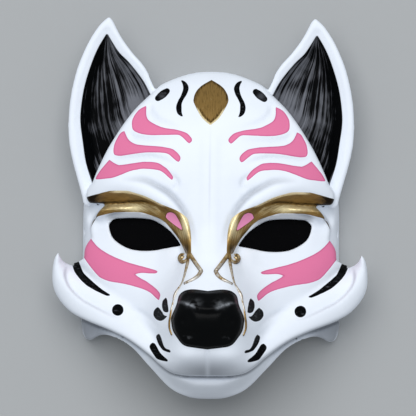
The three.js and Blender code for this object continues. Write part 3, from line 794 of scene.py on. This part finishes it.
def painted_shade_share(x, y, z, edge):
    """How much painted shade greys the white: in the grooves, under the lids, along the tufts and the middle
    of the forehead, under the cheeks, on the lip and the jaw, and down the temple under the brow's tip.
    """
    off, groove = against(BROW_GROOVE, x, y)
    painted_shade = 0.18 * groove[2] * bell((off - 0.6) / 2.8) + 0.14 * bell(x / 0.8) * bell((y - 30) / 40)
    off, _ = against(LID_EDGE, x, y)
    painted_shade += 0.66 * blend(off / 1.2) * blend((7.5 - off) / 2) * blend((x - 36) / 16) * blend((106 - x) / 8)
    off, lock = against(TUFT_LOCK, x, y)
    painted_shade += 0.25 * lock[2] * bell((off + 1.2) / 1.6)
    for hollow in HOLLOWS:
        off, depth = against(hollow, x, y)
        painted_shade += 0.1 * depth[2] * bell(off / 2)
    under_cheek = blend(-edge / 2) * blend((-98 - y) / 4)
    lower_lip = blend((-150 - y) / 14) * blend((60 - x) / 30)
    chin = blend((-182 - y) / 9) * blend(-edge / 2)
    lobes = bell(x / 30) * (1 - 0.45 * bell(x / 2.4))
    painted_shade += under_cheek * (0.04 + 0.74 * blend((x - 92) / 22))
    painted_shade += 0.2 * lower_lip + 0.3 * chin
    painted_shade += 0.7 * bell((edge + 1) / 1.6) * blend((-100 - y) / 6)
    painted_shade += 0.6 * blend((-144 - y) / 20) * blend(edge / 2) * lobes * (z > 60)
    painted_shade += 0.5 * bell((edge + 0.5) / 1.2) * bell((y + 13) / 8) * (z < face_height(x, y) - 3)
    return painted_shade


def brow_lit_tone(x, y, off, width, facing):
    """How bright the gold of the brow is, with painted light and shade: brighter where it faces up, a painted
    highlight along its top edge, on the lower band and beside the drop, painted shade in its crease, a dark
    spot at its lower inner end, and darker to black towards the outer tip.
    """
    lit_tone = 0.58 + 0.2 * facing
    lit_tone += 1.1 * bell((off - 0.1) / 1.2) * blend((x - 42) / 10) * blend((104 - x) / 16)
    lit_tone += 0.6 * bell((x - 79) / 13) * bell((y + 0.5) / 3) + 0.5 * bell((x - 24.5) / 4) * bell((y + 16) / 12)
    lit_tone -= 0.45 * bell(np.hypot(x - 22, (y + 40) / 1.6) / 4.5)
    lit_tone -= 0.42 * bell((off - 0.98 * width) / 1.2) * blend((x - 52) / 24)
    return lit_tone - 0.7 * blend((x - 104) / 20)


def gem_lit_tone(y, depth):
    """How bright the gold of the forehead's gem is, with painted highlights on its lower edges, which face
    the light, painted shade on its upper ones and a darker band just inside the lower ones.
    """
    low, high = blend((103 - y) / 8), blend((y - 103) / 6)
    lit_tone = 0.42 + 0.9 * bell((depth - 0.7) / 0.8) * low
    lit_tone -= 0.3 * bell((depth - 0.9) / 1.3) * high
    return lit_tone - 0.3 * bell((depth - 2.8) / 0.9) * low


def paint(piece, carving):
    """Stores how deep each point lies inside each painted area, in squares, and the painted light and shade
    that go over the paint.
    """
    points, normals = per_point(piece, "co") / SQUARE, per_point(piece, "normal")
    x, y, z = np.abs(points[:, 0]), points[:, 1], points[:, 2]
    lining = carving.sample(carving.hollow, np.stack([x, y, z], 1)) > -LINING_PAINT
    edge = depth_inside(FACE, x, y)
    over_face, over_ear = z - face_height(x, y), z - ear_height(x, y)
    on_face = np.min([(normals[:, 2] + 0.25) * 8, over_face + 5.5, (edge + 0.8) * 3], axis=0)
    on_face = np.where(lining, -5, on_face)
    pink = np.max([depth_inside(stripe, x, y) for stripe in STRIPES + [CHEEK_BAND, DROP]], axis=0)
    gem = depth_inside(GEM, x, y)
    on_gem = gem > -2
    outer, inner = (np.abs(against(smooth(side), x, y)[0]) for side in (CUP_OUTER, CUP_INNER))
    off, brow = against(BROW_EDGE, x, y)
    # Painted shade, only where the surface faces the front
    painted_shade = painted_shade_share(x, y, z, edge) * blend(normals[:, 2] / 0.25)
    for name, values in {
        "lining": lining,
        "pink": np.minimum(on_face, pink),
        "rim": -depth_inside(DROP, x, y),
        "gold": np.minimum(on_face, np.maximum(depth_inside(GILDING, x, y) + 0.5, gem)),
        "ink": np.minimum(on_face, ink_depth(x, y)),
        # Painted highlight in the oval
        "oval_highlight": bell(np.hypot(x - 50, y - 111.8) / 3.4),
        # Painted highlight on the nose
        "painted_highlight": nose_highlight(x, y),
        "nose": np.minimum(over_face + 12, depth_inside(NOSE, x, y)),
        "cup": np.min([over_ear + 4, 4 - over_ear, depth_inside(CUP, x, y)], axis=0),
        "strand": 22 * outer / (outer + inner + 0.01),
        "along": np.hypot(x - 105, 186 - y) / 110,
        "root": bell(edge / 13),
        # Painted shade, none on the lining
        "painted_shade": np.where(lining, 0, painted_shade),
        # Painted light and shade of the gold
        "lit_tone": np.where(on_gem, gem_lit_tone(y, gem), brow_lit_tone(x, y, off, brow[3], normals[:, 1])),
        "grain": np.where(on_gem, points[:, 0] * 0.9, off),
        "run": np.where(on_gem, y * 0.16, brow[0] * 0.12),
    }.items():
        store(piece, name, values)


# Colours mixed into the chosen ones: some are paint, the others painted light and shade
# The grey is painted shade; the cool white and the lining are paint
COOL_WHITE, SHADE_GREY, LINING = linear(222, 228, 240), linear(110, 114, 122), linear(30, 30, 33)
# The pale pink of the drop is painted light; the edge and grain pinks are paint
PINK_EDGE, PINK_GRAIN, PINK_DROP_PAINTED_LIGHT = linear(206, 96, 142), linear(228, 116, 160), linear(255, 160, 202)
# Painted shade and painted highlight of the gold, and a pale painted sheen for the scroll lines
GOLD_SHADE, GOLD_HIGHLIGHT, GOLD_SHEEN = linear(34, 24, 14), linear(252, 234, 184), linear(214, 212, 208)
# Painted sheen on the black marks, painted highlights on the nose and on the ridges of the ear's hair
INK_SHEEN, NOSE_HIGHLIGHT, HAIR_HIGHLIGHT = linear(86, 88, 94), linear(150, 154, 160), linear(118, 120, 127)
SCREEN_DARK, SCREEN_PALE = linear(3, 3, 4), linear(9, 9, 11)


def gilded(nodes, gold, lit_tone, streak):
    """Brushed gold with painted light and shade, from a painted shade in its creases to a painted highlight
    on its lit edges.
    """
    level = lit_tone + (streak - 0.5) * 0.8
    dull = nodes.mix(level.between(0.05, 0.42), GOLD_SHADE, gold)
    return nodes.mix(level.between(0.52, 1.0), dull, GOLD_HIGHLIGHT)


def painted_resin():
    chosen = bpy.context.scene.mask_colours
    nodes = Nodes("painted resin")
    white, pink, black, gold = (tuple(getattr(chosen, c)) + (1,) for c in ("white", "pink", "black", "gold"))
    depth = {name: nodes.attribute(name) for name in ("pink", "rim", "gold", "ink", "nose", "cup", "strand")}
    fine, broad = nodes.noise(900, 3), nodes.noise(45, 3)
    wobble = (nodes.noise(220, 2) - 0.5) * 0.5

    tint = nodes.mix(broad.between(0.35, 0.7) * 0.2, white, COOL_WHITE)
    # Painted shade greys the white in grooves, creases and under overhangs
    tint = nodes.mix(nodes.attribute("painted_shade").between(0, 1) * 0.9, tint, SHADE_GREY)

    grain = nodes.add("ShaderNodeCombineXYZ", {}, [nodes.attribute("grain"), nodes.attribute("run"), 0.0])
    streak = nodes.noise(0.9, 4, vector=grain, roughness=0.6)
    # Painted shade darkens the gold in a ring just outside the drop
    lit_tone = nodes.attribute("lit_tone") - depth["rim"].between(1.2, 0.2) * 0.25
    gold_share = (depth["gold"] + wobble).between(-0.15, 0.15)
    tint = nodes.mix(gold_share, tint, gilded(nodes, gold, lit_tone, streak))

    shade = nodes.mix(depth["pink"].between(0, 1.6), PINK_EDGE, nodes.mix(fine * 0.4, pink, PINK_GRAIN))
    # The drop is painted a paler pink as painted light, for it lies on a slope in shade
    shade = nodes.mix(depth["rim"].between(0.6, -0.2), shade, PINK_DROP_PAINTED_LIGHT)
    pink_share = (depth["pink"] + wobble).between(-0.15, 0.15)
    tint = nodes.mix(pink_share, tint, shade)
    gold_share = gold_share * (1 - pink_share)

    ink = (depth["ink"] + wobble).between(-0.15, 0.15)
    # Painted sheen in streaks in the middle of the black marks, and a painted highlight in the oval
    sheen_streaks = nodes.noise(260, 3, stretch=(1, 3, 1)).between(0.56, 0.75) * depth["ink"].between(0.8, 2.5)
    oval_highlight = nodes.attribute("oval_highlight") * nodes.noise(120, 2).between(0.3, 0.6)
    tint = nodes.mix(ink, tint, nodes.mix(sheen_streaks * 0.6 + oval_highlight * 0.7, black, INK_SHEEN))

    nose = depth["nose"].between(-0.15, 0.15)
    # Painted highlights on the black nose
    painted_sheen = nodes.attribute("painted_highlight") * nodes.noise(180, 3).between(0.35, 0.65)
    tint = nodes.mix(nose, tint, nodes.mix(painted_sheen, black, NOSE_HIGHLIGHT))

    # Painted highlights on the ridges of the ear's carved hair, greyer towards the inner side and the root
    strand = nodes.add("ShaderNodeCombineXYZ", {}, [depth["strand"], nodes.attribute("along"), 0.0])
    hair = nodes.noise(1.0, 5, vector=strand, roughness=0.66)
    fan = depth["strand"].between(1, 15) * 0.21 + nodes.attribute("root") * 0.07
    lit = (hair + nodes.noise(60, 2) * 0.4 + fan).between(0.81, 0.99)
    cup = depth["cup"].between(-0.2, 0.2)
    tint = nodes.mix(cup, tint, nodes.mix(lit, black, HAIR_HIGHLIGHT))
    tint = nodes.mix(nodes.attribute("lining").between(0.3, 0.7), tint, LINING)

    rough = 0.36 + fine * 0.08 + ink * 0.04 + cup * 0.1 - nose * 0.1 - gold_share * 0.04
    height = hair * cup * 2.0 + fine * 0.06 + streak * gold_share * 0.3 + nodes.noise(160, 4) * 0.15
    bump = nodes.add("ShaderNodeBump", {}, {"Strength": 0.6, "Distance": 0.0006, "Height": height}, "Normal")
    return nodes.finish(
        Base_Color=tint, Metallic=gold_share * 0.55, Roughness=rough, Normal=bump, Coat_Weight=nose * 0.05,
        Specular_IOR_Level=0.03, Coat_Roughness=0.18,
    )


def raised_gold(scroll):
    """Gold with painted light: brighter where it faces up and forward and on the curls, with a pale painted
    sheen along the tops of the long lines.
    """
    x, y = np.abs(per_point(scroll, "co")[:, :2].T) / SQUARE
    _, up, out = per_point(scroll, "normal").T
    curl = bell(np.hypot(x - 26.4, y - 50.4) / 5)
    # Painted light and shade of the gold, and a pale painted sheen where the long lines face the front
    store(scroll, "lit_tone", 0.16 + 0.35 * up + (0.3 + 0.3 * curl) * out)
    store(scroll, "painted_sheen", (1 - curl) * blend((y - 49) / 6) * blend((105 - y) / 8) * (out - 0.35) * 1.5)
    nodes = Nodes("raised gold")
    gold = tuple(bpy.context.scene.mask_colours.gold) + (1,)
    tint = gilded(nodes, gold, nodes.attribute("lit_tone"), nodes.noise(300, 3))
    # Pale painted sheen on the long lines
    painted_sheen = nodes.attribute("painted_sheen") * nodes.noise(420, 3).between(0.32, 0.52)
    tint = nodes.mix(painted_sheen.between(0.1, 0.7) * 0.85, tint, GOLD_SHEEN)
    return nodes.finish(Base_Color=tint, Metallic=0.55, Roughness=0.34)


def black_sheet():
    nodes = Nodes("black sheet")
    tint = nodes.mix(nodes.noise(1500, 2), SCREEN_DARK, SCREEN_PALE)
    return nodes.finish(Base_Color=tint, Roughness=1.0, Specular_IOR_Level=0.05)


def floor_paper():
    nodes = Nodes("floor paper")
    return nodes.finish(Base_Color=tuple(bpy.context.scene.mask_colours.floor) + (1,), Roughness=0.9)


# Operators

BEAD_ROUNDNESS, BEAD_LIFT = 3, 0.15
FLOOR_SIZE = 60
KEY_LIGHT = dict(place=(-0.25, 2, 4.4), aim=(0, 0, 0.04), size=4.2, power=164)
SKY = dict(colour=(0.9, 0.95, 1, 1), strength=0.52)
CAMERA = dict(
    yaw=math.radians(1.03), roll=math.radians(0.5), distance=12, target=(-0.0017, 0, 0.035), sensor=36,
)


class MASK_OT_shell(bpy.types.Operator):
    """Carve the mask's shell and paint it"""

    bl_idname = "mask.shell"
    bl_label = "Carve Shell"

    def execute(self, context):
        sizes = context.scene.mask_sizes
        carving = Carving(sizes.detail / SQUARE, sizes.wall / SQUARE)
        points, faces = carving.surface()
        mesh = bpy.data.meshes.new("carved_shell")
        mesh.from_pydata((points * SQUARE).tolist(), [], faces.tolist())
        shell = bpy.data.objects.new("carved_shell", mesh)
        context.scene.collection.objects.link(shell)
        lining = np.abs(carving.sample(carving.hollow, points)) < LINING_REACH
        group = shell.vertex_groups.new(name="lining")
        group.add(np.flatnonzero(lining).tolist(), 1.0, "REPLACE")
        apply_modifier(
            shell, "DECIMATE", "thin lining", ratio=1 - LINING_THINNED * lining.mean(),
            vertex_group="lining", vertex_group_factor=1.0,
        )
        close_seam(shell)
        apply_modifier(shell, "MIRROR", "other half", merge_threshold=10 * SAME_POINT)
        shell.vertex_groups.clear()
        paint(shell, carving)
        shell.data.materials.append(painted_resin())
        activate(shell)
        bpy.ops.object.shade_smooth()
        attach(shell, "root")
        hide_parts("mask_shell")
        return {"FINISHED"}


class MASK_OT_scrolls(bpy.types.Operator):
    """Lay the raised gold lines beside the muzzle"""

    bl_idname = "mask.scrolls"
    bl_label = "Lay Scrolls"

    def execute(self, context):
        beads = []
        for number, knots in enumerate(SCROLLS):
            line = smooth(knots, 6)
            height = face_height(line[:, 0], line[:, 1])
            curve = bpy.data.curves.new(f"scroll_{number}", "CURVE")
            curve.dimensions = "3D"
            curve.bevel_depth = SQUARE
            curve.bevel_resolution = BEAD_ROUNDNESS
            curve.use_fill_caps = True
            spline = curve.splines.new("POLY")
            spline.points.add(len(line) - 1)
            for point, (x, y, half_width), z in zip(spline.points, line, height):
                point.co = (x * SQUARE, y * SQUARE, (z + BEAD_LIFT) * SQUARE, 1)
                point.radius = half_width
            bead = bpy.data.objects.new(f"scroll_{number}", curve)
            context.scene.collection.objects.link(bead)
            beads.append(bead)
        deselect()
        for bead in beads:
            bead.select_set(True)
        context.view_layer.objects.active = beads[0]
        bpy.ops.object.convert(target="MESH")
        bpy.ops.object.join()
        scroll = context.view_layer.objects.active
        scroll.name = "gold_scrolls"
        weld(scroll)
        apply_modifier(scroll, "MIRROR", "other side", use_mirror_merge=False)
        scroll.data.materials.clear()
        scroll.data.materials.append(raised_gold(scroll))
        activate(scroll)
        bpy.ops.object.shade_smooth()
        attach(scroll, "root")
        return {"FINISHED"}


class MASK_OT_screens(bpy.types.Operator):
    """Finish the dark sheets behind the eyes"""

    bl_idname = "mask.screens"
    bl_label = "Finish Screens"

    def execute(self, context):
        material = black_sheet()
        for name in ("eye_screen_left", "eye_screen_right"):
            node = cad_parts[name]
            node.data.materials.clear()
            node.data.materials.append(material)
        return {"FINISHED"}


class MASK_OT_stage(bpy.types.Operator):
    """Set the floor, the lights and the camera"""

    bl_idname = "mask.stage"
    bl_label = "Set Stage"

    def execute(self, context):
        deselect()
        bpy.ops.mesh.primitive_plane_add(size=FLOOR_SIZE, location=(0, 0, 0))
        floor = context.active_object
        floor.name = "floor"
        floor.data.materials.append(floor_paper())
        world = bpy.data.worlds.new("studio")
        context.scene.world = world
        world.use_nodes = True
        background = next(n for n in world.node_tree.nodes if n.type == "BACKGROUND")
        background.inputs["Color"].default_value = SKY["colour"]
        background.inputs["Strength"].default_value = SKY["strength"]
        bpy.ops.object.light_add(type="AREA", location=KEY_LIGHT["place"])
        light = context.active_object
        light.name = "key"
        light.data.size = KEY_LIGHT["size"]
        light.data.energy = KEY_LIGHT["power"]
        aim = Vector(KEY_LIGHT["aim"]) - Vector(KEY_LIGHT["place"])
        light.rotation_euler = aim.to_track_quat("-Z", "Y").to_euler()
        yaw, roll, distance = CAMERA["yaw"], CAMERA["roll"], CAMERA["distance"]
        back = Vector((math.sin(yaw) * math.cos(roll), math.sin(yaw) * math.sin(roll), math.cos(yaw)))
        bpy.ops.object.camera_add(location=Vector(CAMERA["target"]) + distance * back)
        camera = context.active_object
        camera.name = "camera"
        camera.rotation_euler = (0, yaw, roll)
        camera.data.sensor_width = CAMERA["sensor"]
        camera.data.lens = CAMERA["sensor"] * distance / (VIEW_SQUARES * SQUARE)
        context.scene.camera = camera
        context.scene.view_settings.view_transform = "Standard"
        return {"FINISHED"}


class MASK_PT_panel(bpy.types.Panel):
    bl_label = "Fox Mask"
    bl_idname = "MASK_PT_panel"
    bl_space_type = "VIEW_3D"
    bl_region_type = "UI"
    bl_category = "Mask"

    def draw(self, context):
        for group in (context.scene.mask_sizes, context.scene.mask_colours):
            for name in group.__annotations__:
                self.layout.prop(group, name)
        for operator in STEPS:
            self.layout.operator(operator.bl_idname)


STEPS = (MASK_OT_shell, MASK_OT_scrolls, MASK_OT_screens, MASK_OT_stage)
CLASSES = (MaskSizes, MaskColours, *STEPS, MASK_PT_panel)


def register():
    for cls in CLASSES:
        bpy.utils.register_class(cls)
    bpy.types.Scene.mask_sizes = PointerProperty(type=MaskSizes)
    bpy.types.Scene.mask_colours = PointerProperty(type=MaskColours)


def unregister():
    del bpy.types.Scene.mask_sizes
    del bpy.types.Scene.mask_colours
    for cls in reversed(CLASSES):
        bpy.utils.unregister_class(cls)


def main():
    register()
    bpy.ops.mask.shell()
    bpy.ops.mask.scrolls()
    bpy.ops.mask.screens()
    bpy.ops.mask.stage()


if __name__ == "__main__":
    main()
